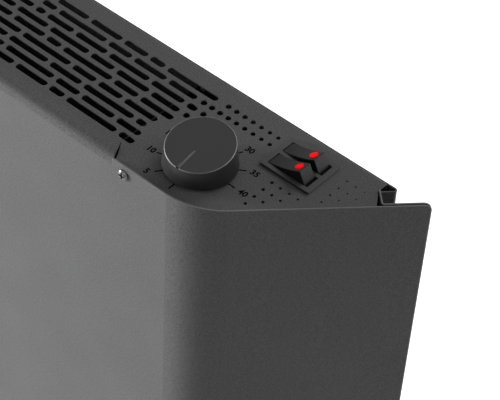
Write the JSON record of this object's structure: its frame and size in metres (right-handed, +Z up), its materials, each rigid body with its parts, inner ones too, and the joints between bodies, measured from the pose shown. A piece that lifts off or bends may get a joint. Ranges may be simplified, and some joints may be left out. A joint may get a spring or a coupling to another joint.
{
  "type": "electric convector heater",
  "caption": "Wall-hung convector heater with a slotted top deck, flared ends, a thermostat knob and twin lit rocker switches over finned heating elements.",
  "frame": {"origin": "centre of the wall bracket's four bolt holes, on the wall", "axes": "+X to the right as seen from the room, +Y into the wall, +Z up"},
  "size_m": [0.7608, 0.0953, 0.4166],
  "materials": {
    "powder_coat": "fine-grained satin powder coat, dark grey",
    "zinc_steel": "zinc-plated sheet",
    "screw_steel": "bright plated",
    "dark_sheet": "sheet darkened by heat",
    "element_aluminium": "extruded, darkened by heat",
    "rod_steel": "drawn stainless sheath",
    "ceramic": null,
    "knob_plastic": "satin moulded, dark grey",
    "switch_plastic": "satin moulded, black",
    "lens_red": "clear red",
    "lamp_glass": "clear neon tube",
    "phenolic": "moulded phenolic",
    "brass": "bright",
    "copper": "drawn copper",
    "nylon": "natural nylon",
    "black_rubber": "matte",
    "wire_brown": "silicone sleeve",
    "wire_blue": "silicone sleeve",
    "wire_green": "silicone sleeve, green with yellow"
  },
  "bodies": {
    "heater": {"casing": "powder_coat", "back_panel": "powder_coat", "bottom_grille": "powder_coat", "corner_brackets": "zinc_steel", "front_screws": "screw_steel", "back_screws": "screw_steel", "grille_screws": "screw_steel", "frame_screws": "screw_steel", "wall_bracket": "zinc_steel", "wall_spacers": "black_rubber", "heat_shield": "dark_sheet", "element_bracket": "dark_sheet", "reflector": "dark_sheet", "lower_element": "element_aluminium", "upper_element": "element_aluminium", "heater_rods": "rod_steel", "ceramic_bushes": "ceramic", "rod_nuts": "screw_steel", "thermostat_body": "phenolic", "thermostat_nut": "screw_steel", "thermostat_terminals": "brass", "capillary_tube": "copper", "sensor_bulb": "copper", "bulb_clips": "zinc_steel", "switch_housing": "switch_plastic", "switch_terminals": "brass", "cutout_bracket": "zinc_steel", "thermal_cutout": "phenolic", "terminal_block": "nylon", "terminal_screws": "brass", "earth_stud": "brass", "earth_nut": "brass", "cable_gland": "black_rubber", "gland_nut": "nylon", "live_wires": "wire_brown", "neutral_wires": "wire_blue", "earth_wire": "wire_green", "shield_grommet": "black_rubber", "wire_clips": "nylon", "neutral_strap": "brass"},
    "knob": {"knob": "knob_plastic", "thermostat_shaft": "brass", "knob_clip": "zinc_steel"},
    "rocker_front": {"rocker_front": "switch_plastic", "lens_front": "lens_red", "lamp_front": "lamp_glass"},
    "rocker_rear": {"rocker_rear": "switch_plastic", "lens_rear": "lens_red", "lamp_rear": "lamp_glass"},
    "contact_front": {"contact_lever_front": "brass"},
    "contact_rear": {"contact_lever_rear": "brass"}
  },
  "joints": [
    {"name": "knob_turn", "type": "hinge", "parent": "heater", "child": "knob", "pos_m": [0.288, -0.0685, 0.2], "axis": [0, 0, -1], "range_deg": [0, 276]},
    {"name": "rocker_front_tilt", "type": "hinge", "parent": "heater", "child": "rocker_front", "pos_m": [0.3212, -0.04325, 0.1975], "axis": [0, 1, 0], "range_deg": [0, 38.2]},
    {"name": "rocker_rear_tilt", "type": "hinge", "parent": "heater", "child": "rocker_rear", "pos_m": [0.3212, -0.03315, 0.1975], "axis": [0, 1, 0], "range_deg": [0, 38.2]},
    {"name": "contact_front_tilt", "type": "hinge", "parent": "heater", "child": "contact_front", "pos_m": [0.3212, -0.04325, 0.1881], "axis": [0, 1, 0], "range_deg": [-11.46, 0]},
    {"name": "contact_rear_tilt", "type": "hinge", "parent": "heater", "child": "contact_rear", "pos_m": [0.3212, -0.03315, 0.1881], "axis": [0, 1, 0], "range_deg": [-11.46, 0]}
  ],
  "couplings": [
    {"joint": "contact_front_tilt", "follows": "rocker_front_tilt", "ratio": -0.3},
    {"joint": "contact_rear_tilt", "follows": "rocker_rear_tilt", "ratio": -0.3}
  ]
}
